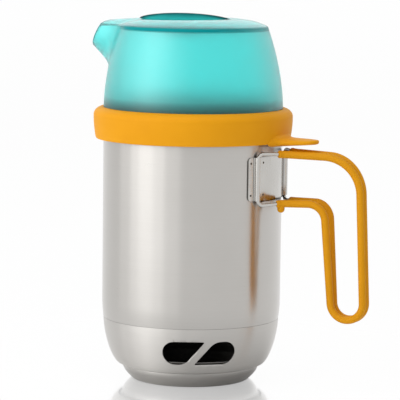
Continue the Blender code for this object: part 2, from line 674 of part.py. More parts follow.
def build_bracket(finish, parent):
    """One formed sheet on the pot's wall, rolled over the four pin ends."""
    line = bracket_line()
    outline = shifted(line, -BRACKET_SHEET / 2) + shifted(line, BRACKET_SHEET / 2)[::-1]
    tall = BRACKET_HALF_HEIGHT + BRACKET_PANEL_EXTRA
    sheet = prism(outline, BRACKET_Z - 1.2 * tall, BRACKET_Z + 1.2 * tall, lambda a, b, depth: (a, b, depth))
    bracket = add_object("handle_bracket", sheet, finish, parent)
    edge = (POT_RADIUS + GAP) * math.sin(BRACKET_HALF_ANGLE)
    step = HINGE_RADIUS * math.sin(HINGE_ANGLE) - KNUCKLE_OUTER - PANEL_EDGE_INSET
    high = BRACKET_HALF_HEIGHT
    corner = BRACKET_CORNER
    quarter = [(step, tall), (step + PANEL_CORNER, high)]
    quarter += arc((edge - corner, high - corner), corner, 90, 0, 4)
    right = quarter + [(y, -z) for y, z in quarter[::-1]]
    face = right + [(-y, -z) for y, z in right]
    front = prism(face, 0.5 * POT_RADIUS, 1.2 * POT_RADIUS, lambda a, b, depth: (depth, a, BRACKET_Z + b))
    boolean(bracket, add_cutter("bracket_front", front, parent), "INTERSECT")
    surface = POT_RADIUS + GAP + BRACKET_SHEET
    weld_angles = (HINGE_ANGLE + WELD_OUTER_TURN, HINGE_ANGLE - WELD_INNER_TURN)
    for number, angle in enumerate([s * a for s in (-1, 1) for a in weld_angles]):
        for height in (-WELD_HALF_SPACING, WELD_HALF_SPACING):
            def radial(a, b, depth, angle=angle, height=height):
                return (depth * math.cos(angle) - a * math.sin(angle),
                        depth * math.sin(angle) + a * math.cos(angle), BRACKET_Z + height + b)
            dot = arc((0, 0), WELD_RADIUS, 0, 360, 8)[:-1]
            pit = prism(dot, surface - WELD_DEPTH, surface + CUT_MARGIN, radial)
            pit = add_cutter(f"weld_{number}_{height > 0}", pit, parent)
            boolean(bracket, pit, "DIFFERENCE")
    return bracket


def main():
    for old in list(bpy.data.objects):
        bpy.data.objects.remove(old)
    brushed = material("brushed_steel", (0.62, 0.61, 0.59), 0.32, 1.0)
    polished = material("polished_steel", (0.70, 0.70, 0.68), 0.18, 1.0)
    silicone = material("orange_silicone", (0.80, 0.37, 0.03), 0.55, 0.0)
    frosted = material("teal_frosted_plastic", (0.07, 0.66, 0.62), 0.30, 0.0)
    axis = empty_at("pot_axis", (AXIS_X, 0, 0))
    build_pot(brushed, axis)
    build_skirt(brushed, axis)
    build_base_ring(polished, axis)
    build_bracket(polished, axis)
    build_lid(frosted, axis)
    build_seal(silicone, axis)
    build_loop("front_handle", -1, polished, silicone, axis)
    build_loop("back_handle", 1, polished, silicone, axis)


main()
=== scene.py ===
import json
import math

import bpy
import numpy as np
from mathutils import Matrix, Vector
from mathutils.geometry import delaunay_2d_cdt

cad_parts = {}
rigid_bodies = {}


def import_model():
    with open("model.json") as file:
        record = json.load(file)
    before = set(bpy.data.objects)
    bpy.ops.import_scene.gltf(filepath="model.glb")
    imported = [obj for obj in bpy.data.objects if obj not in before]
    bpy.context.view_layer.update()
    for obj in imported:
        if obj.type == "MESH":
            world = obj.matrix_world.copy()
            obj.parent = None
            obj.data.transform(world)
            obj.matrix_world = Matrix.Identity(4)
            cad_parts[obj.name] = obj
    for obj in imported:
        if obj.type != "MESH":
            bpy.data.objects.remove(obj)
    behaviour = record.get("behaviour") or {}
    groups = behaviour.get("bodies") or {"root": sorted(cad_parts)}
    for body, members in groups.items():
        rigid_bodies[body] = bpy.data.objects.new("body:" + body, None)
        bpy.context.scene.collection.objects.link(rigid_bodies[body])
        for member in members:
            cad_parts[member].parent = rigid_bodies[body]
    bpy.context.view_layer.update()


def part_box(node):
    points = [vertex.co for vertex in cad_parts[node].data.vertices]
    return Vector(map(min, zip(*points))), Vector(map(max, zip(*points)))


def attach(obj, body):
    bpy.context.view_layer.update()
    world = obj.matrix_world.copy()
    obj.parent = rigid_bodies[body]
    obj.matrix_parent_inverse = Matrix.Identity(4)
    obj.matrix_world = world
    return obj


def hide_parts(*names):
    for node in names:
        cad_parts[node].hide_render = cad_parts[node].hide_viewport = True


for leftOver in list(bpy.data.objects):
    bpy.data.objects.remove(leftOver)
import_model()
potLow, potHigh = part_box("pot_body")
axisX = (potLow.x + potHigh.x) / 2  # the pot's own axis is vertical through (axisX, 0)
print("frame loaded")


# Mesh helpers

def smoothStep(value):
    # 3 s^2 - 2 s^3 of a share held between 0 and 1
    share = np.clip(value, 0, 1)
    return share * share * (3 - 2 * share)


def blend(first, last, share):
    return first + (last - first) * share


def fullTurn(count):
    # evenly spaced headings round a circle
    return np.linspace(0, 2 * math.pi, count, endpoint=False)


def together(*parts):
    # coordinates brought to one shape and stacked along a last axis
    return np.stack(np.broadcast_arrays(*parts), -1)


def unit(vectors):
    return vectors / np.linalg.norm(vectors, axis=-1, keepdims=True)


def runLength(line):
    # how far along a line each of its points lies
    return np.concatenate([[0], np.cumsum(np.linalg.norm(np.diff(line, axis=0), axis=1))])


def evenly(line, count):
    # the same line as evenly spaced points
    length = runLength(line)
    stations = np.linspace(0, length[-1], count)
    return together(*[np.interp(stations, length, column) for column in line.T])


def gridFaces(rows, columns, closeRows=False, closeColumns=True):
    # corner numbers of the quads between neighbouring rows and columns
    a, b = np.meshgrid(np.arange(rows - 1 + closeRows), np.arange(columns - 1 + closeColumns), indexing="ij")
    below, beside = (a + 1) % rows, (b + 1) % columns
    quads = together(a * columns + b, a * columns + beside, below * columns + beside, below * columns + b)
    return quads.reshape(-1, 4)


def weld(faces, points, *partners):
    # corners within 0.1 micron get one number, a quad that lost a side becomes a triangle, unused corners go;
    # partners are arrays with a row for each point
    _, first, number = np.unique(np.round(points, 7), axis=0, return_index=True, return_inverse=True)
    faces = number.ravel()[faces]
    same = faces == np.roll(faces, -1, axis=1)
    lost = same.sum(1)
    pinched = faces[lost == 1][~same[lost == 1]]
    groups = [faces[lost == 0], pinched.reshape(-1, faces.shape[1] - 1)]
    groups = [g for g in groups if len(g) and g.shape[1] > 2]
    used = np.unique(np.concatenate([g.ravel() for g in groups]))
    renumber = np.zeros(len(first), int)
    renumber[used] = np.arange(len(used))
    first = first[used]
    return [renumber[g] for g in groups], *(array[first] for array in (points, *partners))


def thicken(outer, inner, groups):
    # two sheets with one numbering become a shell: a rim joins each edge that has a face on one side only
    count = len(outer)
    starts = np.concatenate([g.ravel() for g in groups])
    ends = np.concatenate([np.roll(g, -1, axis=1).ravel() for g in groups])
    single = ~np.isin(starts * count + ends, ends * count + starts)
    a, b = starts[single], ends[single]
    rim = together(b, a, a + count, b + count)
    return np.vstack([outer, inner]), groups + [g[:, ::-1] + count for g in groups] + [rim]


def volumeOf(points, groups):
    # signed volume: each face's fan of triangles against the origin
    total = 0.0
    for group in groups:
        for k in range(1, group.shape[1] - 1):
            a, b, c = (points[group[:, i]] for i in (0, k, k + 1))
            total += np.einsum("ij,ij->", a, np.cross(b, c)) / 6
    return total


def addObject(name, data):
    made = bpy.data.objects.new(name, data)
    bpy.context.scene.collection.objects.link(made)
    return made


def addPiece(name, points, groups, material, body, slot, replaced=(), crease=35, inner=None):
    # puts the arrays in a mesh, faces outwards, and hangs it on its body; inner is 1 for points on the inside
    if volumeOf(points, groups) < 0:
        groups = [g[:, ::-1] for g in groups]
    corners = np.concatenate([g.ravel() for g in groups])
    sizes = np.concatenate([np.full(len(g), g.shape[1]) for g in groups])
    mesh = bpy.data.meshes.new(name)
    mesh.vertices.add(len(points))
    mesh.vertices.foreach_set("co", points.astype(np.float32).ravel())
    mesh.loops.add(len(corners))
    mesh.loops.foreach_set("vertex_index", corners.astype(np.int32))
    mesh.polygons.add(len(sizes))
    mesh.polygons.foreach_set("loop_start", np.concatenate([[0], np.cumsum(sizes)[:-1]]).astype(np.int32))
    mesh.update(calc_edges=True)
    if inner is not None:
        mesh.attributes.new("inner", "FLOAT", "POINT").data.foreach_set("value", inner.astype(np.float32))
    mesh.validate()
    mesh.shade_smooth()
    mesh.set_sharp_from_angle(angle=math.radians(crease))
    mesh.materials.append(material)
    piece = addObject(name, mesh)
    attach(piece, body)
    if replaced:
        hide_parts(*replaced)
    print("made", name, len(sizes), "faces")


def addRings(name, rings, *settings):
    # a piece from rings of points, each ring closed on itself
    groups, points = weld(gridFaces(*rings.shape[:2]), rings.reshape(-1, 3))
    addPiece(name, points, groups, *settings)


def capped(rings):
    # a run of rings closed at both ends with their middles
    ends = rings[[0, -1]].mean(1, keepdims=True).repeat(rings.shape[1], 1)
    return np.concatenate([ends[:1], rings, ends[1:]])


def addTube(name, path, radius, soften, tip, sides, *settings):
    # a circle carried along a path that never runs along Y, narrowed at both ends by a quarter circle
    length = runLength(path)
    share = 1 - np.clip(np.minimum(length, length[-1] - length) / soften, 0, 1)
    radii = tip + (radius - tip) * np.sqrt(1 - share ** 2)
    along = unit(np.gradient(path, axis=0))
    level = unit([0, 1.0, 0] - along[:, 1:2] * along)
    turn = fullTurn(sides)[:, None]
    ring = level[:, None] * np.cos(turn) + np.cross(along, level)[:, None] * np.sin(turn)
    addRings(name, capped(path[:, None] + ring * radii[:, None, None]), *settings)


def around(radius, heading, z):
    # points at a distance and a heading from the pot's axis
    return together(axisX + radius * np.cos(heading), radius * np.sin(heading), z)


def addTurned(name, profile, inner, material, body, slot, replaced, closed):
    # every (radius, z) of a profile carried round the pot's axis; inner is 1 for each row on the inside
    segments = 192
    rings = around(profile[:, :1], fullTurn(segments), profile[:, 1:]).reshape(-1, 3)
    faces = gridFaces(len(profile), segments, closeRows=closed)
    groups, points, inner = weld(faces, rings, np.repeat(inner, segments))
    addPiece(name, points, groups, material, body, slot, replaced, inner=inner)


def arcPoints(centre, radius, start, end, steps):
    # a circle's arc between two headings in degrees
    turn = np.radians(np.linspace(start, end, steps + 1))
    return together(centre[0] + radius * np.cos(turn), centre[1] + radius * np.sin(turn))


def rounded(corners, steps):
    # a closed outline; the last number of each corner is the radius of the arc that touches both its sides
    corners = np.array(corners, float)
    points, radii = corners[:, :-1], corners[:, -1]
    share = np.linspace(0, 1, steps + 1)[:, None]
    found = []
    for before, point, after, radius in zip(np.roll(points, 1, 0), points, np.roll(points, -1, 0), radii):
        if radius == 0:
            found.append(point[None])
            continue
        back, ahead = unit(before - point), unit(after - point)
        half = math.acos(back @ ahead) / 2
        centre = point + unit(back + ahead) * radius / math.sin(half)
        reach, turn = radius / math.tan(half), math.pi - 2 * half
        first, last = point + back * reach - centre, point + ahead * reach - centre
        arc = (np.sin((1 - share) * turn) * first + np.sin(share * turn) * last) / math.sin(turn)
        found.append(centre + arc)
    return np.concatenate(found)


def offsetLine(line, distance):
    # a plane line moved to its left along its own normals
    along = unit(np.gradient(line, axis=0))
    return line + distance * together(-along[:, 1], along[:, 0])


# Lid's sizes, which its materials read too

lid = {
    "wall": 0.0020, "radius": 0.0660, "topRadius": 0.0544, "footZ": 0.1923, "seatZ": 0.2015,
    "shoulderZ": 0.2603, "crown": 0.0067, "edgeRise": 0.0009, "edgeRadius": 0.0012, "taper": 1.8,
    "crownPower": 5.0, "spoutCrownPower": 2.2, "spoutGrowth": 0.0357, "spoutRootZ": 0.2222,
    "spoutFullZ": 0.2600, "spoutSpread": 10, "lipX": -0.0820, "lipZ": 0.2425, "mouthTilt": 57.3,
    "dishCentre": -0.0073, "dishRadius": 0.0340, "dishDepth": 0.0100, "rimDrop": 0.0006, "softRim": 0.00035,
    "finThick": 0.0030, "finRise": 0.0044, "finSink": 0.0004, "finExtra": 0.0028, "finPower": 1.2,
    "finRoot": 0.0004, "finDepth": 0.0012, "finLeast": 0.0002, "finRounding": 0.6,
}
lidTop = lid["shoulderZ"] + lid["crown"]
dishBall = (lid["dishRadius"] ** 2 + lid["dishDepth"] ** 2) / (2 * lid["dishDepth"])
dishRimZ = lidTop - lid["rimDrop"]
finHalf = lid["dishRadius"] + lid["finExtra"]
finBaseZ = dishRimZ - lid["finSink"]


def mouthSide(x, z):
    # signed distance in front of the mouth's slanting plane, with x from the pot's axis
    tilt = math.radians(lid["mouthTilt"])
    return (lid["lipX"] - x) * math.sin(tilt) + (z - lid["lipZ"]) * math.cos(tilt)


# Materials

class Socket:
    # a node socket in an expression: its operators and methods add Math nodes
    def __init__(self, tree, socket):
        self.tree, self.socket = tree, socket

    def maths(self, operation, *values):
        return self.tree.add("ShaderNodeMath", dict(enumerate(values)), operation=operation)

    def __add__(self, other):
        return self.maths("ADD", self, other)

    def __mul__(self, other):
        return self.maths("MULTIPLY", self, other)

    def __sub__(self, other):
        return self.maths("SUBTRACT", self, other)

    def __rsub__(self, other):
        return self.maths("SUBTRACT", other, self)

    def __truediv__(self, other):
        return self.maths("DIVIDE", self, other)

    def __pow__(self, other):
        return self.maths("POWER", self, other)

    def __abs__(self):
        return self.maths("ABSOLUTE", self)

    def larger(self, other):
        return self.maths("MAXIMUM", self, other)

    def distance(self, other):
        return self.maths("SQRT", self * self + other * other)

    __radd__ = __add__
    __rmul__ = __mul__


class Tree:
    # adds nodes: the type, the values or links of its sockets, the output to use, then its settings
    def __init__(self, owner):
        owner.use_nodes = True
        self.owner, self.tree = owner, owner.node_tree
        self.tree.nodes.clear()

    def add(self, kind, inputs=None, output=0, **settings):
        node = self.tree.nodes.new(kind)
        for name, value in settings.items():
            setattr(node, name, value)
        for name, value in (inputs or {}).items():
            if isinstance(value, Socket):
                self.tree.links.new(value.socket, node.inputs[name])
            else:
                node.inputs[name].default_value = value
        return Socket(self, node.outputs[output]) if node.outputs else None

    def noise(self, scale, detail=2.0, stretched=(1, 1, 1)):
        where = self.add("ShaderNodeTexCoord", output=3)
        vector = self.add("ShaderNodeMapping", {"Vector": where, "Scale": stretched}, vector_type="POINT")
        return self.add("ShaderNodeTexNoise", {"Vector": vector, "Scale": scale, "Detail": detail})

    def place(self):
        # x and y from the pot's axis, and z
        where = self.add("ShaderNodeTexCoord", output=3)
        x, y, z = (self.add("ShaderNodeSeparateXYZ", {0: where}, axis) for axis in range(3))
        return x - axisX, y, z

    def inner(self):
        return self.add("ShaderNodeAttribute", output=2, attribute_name="inner")

    def facing(self):
        return self.add("ShaderNodeLayerWeight", {"Blend": 0.5}, 1)

    def ray(self, kind):
        # 1 for one kind of ray: 0 is a straight look, 3 glossy, 6 through the plastic
        return self.add("ShaderNodeLightPath", output=kind)

    def seen(self):
        # 1 for those three kinds, 0 for the rays that only light the pieces
        return self.ray(0).larger(self.ray(6)).larger(self.ray(3))

    def mixColour(self, factor, first, second):
        return self.add("ShaderNodeMix", {0: factor, 6: first, 7: second}, 2, data_type="RGBA")

    def bump(self, height, distance, strength=1.0):
        return self.add("ShaderNodeBump", {"Height": height, "Distance": distance, "Strength": strength})

    def stretch(self, value, low, high):
        # 0 below the low value, 1 above the high one
        return self.add("ShaderNodeMapRange", {0: value, 1: low, 2: high, 3: 0.0, 4: 1.0}, clamp=True)

    def near(self, value, middle, half, flat=0.0):
        # 1 up to the flat distance from the middle, 0 from one half width away
        return 1 - self.stretch(abs(value - middle), flat, half)

    def shader(self, **sockets):
        return self.add("ShaderNodeBsdfPrincipled", {k.replace("_", " "): v for k, v in sockets.items()})

    def mixShader(self, factor, first, second):
        return self.add("ShaderNodeMixShader", {0: factor, 1: first, 2: second})

    def finish(self, shader, kind="Material"):
        self.add("ShaderNodeOutput" + kind, {"Surface": shader})
        return self.owner


def newTree(name):
    return Tree(bpy.data.materials.new(name))


def toned(look, tone):
    # a dictionary's dark and light colour, both multiplied by the tone
    return [[tone * part for part in look[key][:3]] + [1] for key in ("dark", "light")]


satinSteel = {
    "light": (0.526, 0.510, 0.488, 1), "dark": (0.490, 0.474, 0.451, 1), "shadow": (0.034, 0.032, 0.030, 1),
    "dull": (0.225, 0.213, 0.197, 1), "footZ": (0.0080, 0.0130), "footPaintedShade": 0.22,
    "seamZ": 0.0462, "seamHalf": 0.0003, "seamPaintedShade": 0.4,
    "lines": (22, 22, 3400), "lineShare": 0.4, "lineDepth": 0.000004, "cloud": 18.0, "contrast": (0.3, 0.7),
    "uneven": 0.03, "insideExtra": 0.25,
}


def makeSatinSteel(name, roughness, stretched, tone):
    # fine lines run round the pot: noise squeezed along z over a slow cloudiness; painted shade darkens the
    # seam's groove, the foot and the inside
    look, tree = satinSteel, newTree(name)
    lines, cloud = tree.noise(1.0, 3.0, look["lines"]), tree.noise(look["cloud"], 3.0)
    shade = blend(cloud, lines, look["lineShare"])
    dark, light = toned(look, tone)
    bare = tree.mixColour(tree.stretch(shade, *look["contrast"]), dark, light)
    z, inner = tree.place()[2], tree.inner()
    foot = 1 - tree.stretch(z, *look["footZ"])
    seam = tree.near(z, look["seamZ"], look["seamHalf"])
    # painted shade: the dull colour stands for the shade in the seam's groove and for the shaded floor that
    # the foot reflects
    bare = tree.mixColour(foot * look["footPaintedShade"] + seam * look["seamPaintedShade"], bare, look["dull"])
    # painted shade: points marked as inside take the shadow colour
    return tree.finish(tree.shader(
        Base_Color=tree.mixColour(inner, bare, look["shadow"]), Metallic=1.0,
        Roughness=roughness + (cloud + lines - 1) * look["uneven"] + inner * look["insideExtra"],
        Anisotropic=stretched, Anisotropic_Rotation=0.25, Normal=tree.bump(lines, look["lineDepth"])))


brightSteel = {
    "light": (0.560, 0.545, 0.520, 1), "dark": (0.480, 0.465, 0.440, 1), "rim": (0.030, 0.028, 0.026, 1),
    "creaseShadeShare": 0.9, "roughness": 0.16, "cloud": 60.0, "scuff": 0.14, "scuffScale": 420.0,
    "scuffStretch": (1, 1, 0.12), "scuffed": (0.56, 0.72), "scuffDepth": 0.000006,
    "lowRadii": (0.0674, 0.0684), "centreZ": 0.1536, "borderZ": 0.0165, "borderHalf": 0.0013,
    "lines": ((0.3315, 0.010, 1.0), (0.4135, 0.008, 0.35), (0.492, 0.008, 0.5)),
}


def makeBrightSteel():
    # polished steel with faint scuffs and painted shade in the creases beside the pins and along the sheet's
    # edges;
    # each line is a heading from the pot's axis, its half width and its weight
    look, tree = brightSteel, newTree("brightSteel")
    cloud = tree.noise(look["cloud"], 4.0)
    scuff = tree.stretch(tree.noise(look["scuffScale"], 2.0, look["scuffStretch"]), *look["scuffed"])
    x, y, z = tree.place()
    heading = abs(x.maths("ARCTAN2", y, x))
    low = 1 - tree.stretch(x.distance(y), *look["lowRadii"])
    crease = sum(tree.near(heading, middle, half) * weight for middle, half, weight in look["lines"])
    border = tree.near(abs(z - look["centreZ"]), look["borderZ"], look["borderHalf"])
    # painted shade: the crease and border masks darken the sheet near the wall towards the rim colour
    dark = (crease * low).larger(border * low)
    bare = tree.mixColour(cloud, look["dark"], look["light"])
    return tree.finish(tree.shader(
        Base_Color=tree.mixColour(dark * look["creaseShadeShare"], bare, look["rim"]), Metallic=1.0,
        Roughness=look["roughness"] + scuff * look["scuff"], Normal=tree.bump(scuff, look["scuffDepth"])))


weldSpot = {"centre": (0.030, 0.024, 0.018, 1), "edge": (0.13, 0.11, 0.09, 1), "cloud": 900.0}


def makeWeldSpot():
    # darkened metal at the spot welds
    tree = newTree("weldSpot")
    cloud = tree.noise(weldSpot["cloud"])
    return tree.finish(tree.shader(Base_Color=tree.mixColour(cloud, weldSpot["centre"], weldSpot["edge"]),
                                   Metallic=1.0, Roughness=0.30 + cloud * 0.2))


orangeSilicone = {
    "light": (0.795, 0.346, 0.005, 1), "dark": (0.745, 0.313, 0.002, 1), "inner": (0.075, 0.050, 0.020, 1),
    "cloud": 22.0, "contrast": (0.3, 0.7), "roughness": 0.50, "dust": 0.12,
    "grain": 1700.0, "grainDepth": 0.00003,
}


def makeOrangeSilicone(name, tone):
    # matte rubber: fine grain, a slightly dusty cloudiness, and painted shade on the inside faces
    look, tree = orangeSilicone, newTree(name)
    cloud, grain = tree.noise(look["cloud"], 3.0), tree.noise(look["grain"])
    outer = tree.mixColour(tree.stretch(cloud, *look["contrast"]), *toned(look, tone))
    # painted shade: the inside faces take the dark inner colour
    return tree.finish(tree.shader(
        Base_Color=tree.mixColour(tree.inner(), outer, look["inner"]),
        Roughness=look["roughness"] + cloud * look["dust"], Specular_IOR_Level=0.15,
        Normal=tree.bump(grain, look["grainDepth"], 0.6)))


frostedTeal = {
    "colour": (0.080, 0.990, 0.970, 1), "deep": (0.060, 0.965, 0.945, 1), "edge": (0.001, 0.235, 0.245, 1),
    "thick": (0.002, 0.275, 0.285, 1), "foot": (0.002, 0.330, 0.320, 1), "shade": (0.004, 0.080, 0.080, 1),
    "cloud": 30.0, "frost": 2600.0, "frostDepth": 0.00002, "transmission": 0.92,
    "wallRoughness": 0.30, "topRoughness": 0.20, "topZ": (0.2598, 0.2606), "uneven": 0.06,
    "edgeZ": 0.2601, "edgeHalf": 0.0020, "edgeFlat": 0.0009, "edgeLeast": 0.55, "spoutFade": (-0.052, -0.036),
    "sideY": (0.012, 0.045), "rimHalf": 0.0009, "dishRadii": (0.024, 0.031), "dishShare": 0.6,
    "footZ": (0.2025, 0.2095), "footShade": 0.6, "footShadeShare": 0.18, "dullFacing": (0.45, 0.90),
    "dullShare": 0.95, "lowZ": (0.204, 0.222), "lowShare": 0.5,
}


def makeFrostedTeal():
    # translucent plastic: frosted wall, glossier top, fine frost grain; painted shade as a deep colour at the
    # crown's edge, the mouth's rim, the dish and the foot, stronger at the two sides; the gloss fades where
    # the wall turns away
    look, tree = frostedTeal, newTree("frostedTeal")
    (x, y, z), cloud = tree.place(), tree.noise(look["cloud"])
    side = tree.stretch(abs(y), *look["sideY"])
    rim = tree.near(mouthSide(x, z), 0.0, look["rimHalf"])
    edge = tree.near(z, look["edgeZ"], look["edgeHalf"], look["edgeFlat"])
    edge = edge * tree.stretch(x, *look["spoutFade"]) * blend(look["edgeLeast"], 1, side)
    dish = 1 - tree.stretch((x - lid["dishCentre"]).distance(y), *look["dishRadii"])
    foot = 1 - tree.stretch(z, *look["footZ"])
    grain = tree.bump(tree.noise(look["frost"]), look["frostDepth"], 0.5)
    top = tree.stretch(z, *look["topZ"]) * (look["wallRoughness"] - look["topRoughness"])
    low = 1 - tree.stretch(z, *look["lowZ"])
    dull = tree.stretch(tree.facing(), *look["dullFacing"])
    body = tree.mixColour(cloud, look["deep"], look["colour"])
    # painted shade: the body turns towards the darker foot colour low on the wall
    clear = tree.shader(
        Base_Color=tree.mixColour(foot * look["footShade"], body, look["foot"]),
        Roughness=look["wallRoughness"] + (cloud - 0.5) * look["uneven"] - top,
        Transmission_Weight=look["transmission"], IOR=1.46, Coat_IOR=1.6, Coat_Roughness=0.30,
        Coat_Weight=(1 - look["dullShare"] * dull) * (1 - look["lowShare"] * low), Normal=grain)
    # painted shade: a darker shader is mixed in at the crown's edge, the mouth's rim, the dish and the foot
    shadeColour = tree.mixColour(cloud, look["edge"], look["thick"])
    thick = tree.shader(Base_Color=tree.mixColour(foot, shadeColour, look["shade"]), Roughness=0.4,
                        Specular_IOR_Level=0.05, Normal=grain)
    paintedShade = rim.larger(edge).larger(dish * look["dishShare"]).larger(foot * look["footShadeShare"] * (1 + side))
    return tree.finish(tree.mixShader(paintedShade, clear, thick))


deepTeal = {
    "colour": (0.035, 0.560, 0.540, 1), "dark": (0.001, 0.120, 0.125, 1), "crest": (0.001, 0.022, 0.025, 1),
    "heights": (0.2664, 0.2696), "cloud": 90.0, "cloudShare": 0.3, "line": (0.0003, 0.0014),
    "lineMiddle": 0.8, "lineGrowth": 1.8, "lineLeast": 0.55, "roughness": 0.2, "uneven": 0.08,
    "grain": 2200.0, "grainDepth": 0.00001,
}


def makeDeepTeal():
    # painted shade on the fin: a deep colour, darker with its height, darkest in a line along the crest that
    # widens with the square of the run from the middle
    look, tree = deepTeal, newTree("deepTeal")
    (x, _, z), cloud = tree.place(), tree.noise(look["cloud"])
    run = (x - lid["dishCentre"]) / finHalf
    run = run * run
    arch = (1 - run).larger(0.0) ** (lid["finPower"] / 2)
    below = finBaseZ + arch * lid["finRise"] - z
    line = 1 - tree.stretch(below / (look["lineMiddle"] + look["lineGrowth"] * run), *look["line"])
    # painted shade: the fin grows darker with its height and along the crest
    shade = blend(tree.stretch(z, *look["heights"]), cloud, look["cloudShare"])
    body = tree.mixColour(shade, look["colour"], look["dark"])
    return tree.finish(tree.shader(
        Base_Color=tree.mixColour(line * blend(look["lineLeast"], 1, run), body, look["crest"]),
        Roughness=look["roughness"] + cloud * look["uneven"], Specular_IOR_Level=0.04,
        Normal=tree.bump(tree.noise(look["grain"]), look["grainDepth"], 0.4)))


steelSatin = makeSatinSteel("satinSteel", roughness=0.285, stretched=0.87, tone=1.0)
# painted light: the skirt's steel is a lighter copy of the satin steel
steelSkirt = makeSatinSteel("skirtSteel", roughness=0.38, stretched=1.0, tone=1.16)
steelBright, steelWeld = makeBrightSteel(), makeWeldSpot()
siliconeBand = makeOrangeSilicone("bandSilicone", tone=1.02)
# painted shade: the sleeves are a darker copy of the band's silicone
siliconeSleeve = makeOrangeSilicone("sleeveSilicone", tone=0.89)
plasticTeal, plasticDeep = makeFrostedTeal(), makeDeepTeal()
print("materials made")


# Pot

sheet = 0.0008
pot = {
    "radius": 0.0660, "shoulderRadius": 0.0650, "shoulderHeight": 0.0150, "rimZ": 0.1890, "bead": 0.0015,
    "footRadius": 0.0635, "floorZ": 0.0386, "corner": 0.0050, "seamZ": 0.0460, "seamStep": 0.0001,
    "insideDark": 0.5,
}


def makePot():
    # floor, corner, foot inside the skirt, seam, eased shoulder, wall, rolled rim, and back inside
    radius, foot, z, corner, bead = (pot[k] for k in ("radius", "footRadius", "floorZ", "corner", "bead"))
    share = np.linspace(0, 1, 9)
    step, middle = pot["seamZ"] + pot["seamStep"], (foot - corner, z + corner)
    shoulder = together(blend(pot["shoulderRadius"], radius, 1 - (1 - share) ** 2),
                        step + share * pot["shoulderHeight"])
    wall = together(radius, np.linspace(step + pot["shoulderHeight"], pot["rimZ"] - 2 * bead, 9)[1:])
    start = math.degrees(math.acos((sheet - bead) / bead))
    rim = arcPoints((radius - sheet + bead, pot["rimZ"] - bead), bead, -start, 180, 14)
    shown = np.vstack([[[0, z]], arcPoints(middle, corner, -90, 0, 6), [[foot, pot["seamZ"]]],
                       shoulder, wall, rim])
    hidden = np.vstack([wall[::-1] - [sheet, 0], shoulder[::-1] + [-sheet, sheet / 2],
                        [[foot - sheet, pot["seamZ"] + sheet]], arcPoints(middle, corner - sheet, 0, -90, 6),
                        [[0, z + sheet]]])
    # painted shade: the hidden inside rows take half of the shadow colour
    inner = np.repeat([0, pot["insideDark"]], [len(shown), len(hidden)])
    addTurned("pot_wall", np.vstack([shown, hidden]), inner,
              steelSatin, "pot", "brushed_steel", ["pot_body"], False)


makePot()


# Skirt with its vents

skirt = {
    "bottomZ": 0.0118, "topZ": 0.0460, "bottomRadius": 0.0533, "topRadius": 0.0650, "fullness": 1.6,
    "ventHeadings": (61, 181, 301), "halfWidth": 0.0271, "halfHeight": 0.0088, "ventZ": 0.0279,
    "bar": 0.0069, "barAngle": 50, "cornerRadius": 0.0100, "tipRadius": 0.0007, "columns": 300, "rows": 22,
    "clearance": 0.0007,
}


def skirtSide():
    # superellipse quarter as (radius, z): sin and cos of an angle raised to 2 over the fullness
    angle = np.linspace(0, math.pi / 2, 400)
    power = 2 / skirt["fullness"]
    return together(blend(skirt["bottomRadius"], skirt["topRadius"], np.sin(angle) ** power),
                    blend(skirt["bottomZ"], skirt["topZ"], 1 - np.cos(angle) ** power))


def teardrop():
    # round at one end, cut slanting at the other, as (arc length, height) about the vent's middle
    high = skirt["halfHeight"]
    run = 2 * high / math.tan(math.radians(skirt["barAngle"]))
    tip, end = (run - skirt["bar"]) / 2, high - skirt["halfWidth"]
    body = rounded([(end, -high, 0), (tip - run, -high, skirt["cornerRadius"]),
                    (tip, high, skirt["tipRadius"]), (end, high, 0)], 8)
    return np.vstack([body, arcPoints((end, 0), high, 90, 270, 24)[1:-1]])


def inside(outline, points):
    # crossing count of a level ray from each point
    found = np.zeros(len(points), bool)
    for (ax, ay), (bx, by) in zip(outline, np.roll(outline, -1, axis=0)):
        crosses = (ay > points[:, 1]) != (by > points[:, 1])
        found ^= crosses & (points[:, 0] < (bx - ax) * (points[:, 1] - ay) / (by - ay + 1e-15) + ax)
    return found


def makeSkirt():
    # triangles fill the unrolled side between the vents' outlines, and are then wrapped round the axis
    side = skirtSide()
    length = runLength(side)
    middle = np.interp(skirt["ventZ"], side[:, 1], side[:, 0])
    drop = teardrop()
    holes = []
    for heading in skirt["ventHeadings"]:
        for flip in (1, -1):
            up = np.interp(skirt["ventZ"] + flip * drop[:, 1], side[:, 1], length)
            holes.append(together(math.radians(heading) * middle + flip * drop[:, 0], up))
    across, up = np.meshgrid(np.linspace(0, 2 * math.pi * middle, skirt["columns"] + 1),
                             np.linspace(0, length[-1], skirt["rows"]), indexing="ij")
    grid = together(across.ravel(), up.ravel())
    for hole in holes:
        near = np.linalg.norm(grid[:, None] - hole[None], axis=2).min(1) < skirt["clearance"]
        grid = grid[~(inside(hole, grid) | near)]
    edges, count = [], len(grid)
    for hole in holes:
        edges += [(count + i, count + (i + 1) % len(hole)) for i in range(len(hole))]
        count += len(hole)
    flat = [Vector(point) for point in np.vstack([grid] + holes)]
    flat, _, faces, _, _, _ = delaunay_2d_cdt(flat, edges, [], 0, 1e-7)
    flat, faces = np.array([tuple(point) for point in flat]), np.array(faces)
    faces = faces[~np.any([inside(hole, flat[faces].mean(1)) for hole in holes], axis=0)]
    heading = flat[:, 0] / middle

    def wrap(line):
        radius, z = (np.interp(flat[:, 1], length, column) for column in line.T)
        return around(radius, heading, z)

    groups, outer, back = weld(faces, wrap(side), wrap(offsetLine(side, sheet)))
    points, groups = thicken(outer, back, groups)
    # painted shade: the back sheet's points are marked as inside and take the shadow colour
    addPiece("heat_skirt_shell", points, groups, steelSkirt, "pot", "brushed_steel", ["heat_skirt"], 40,
             np.arange(len(points)) >= len(outer))


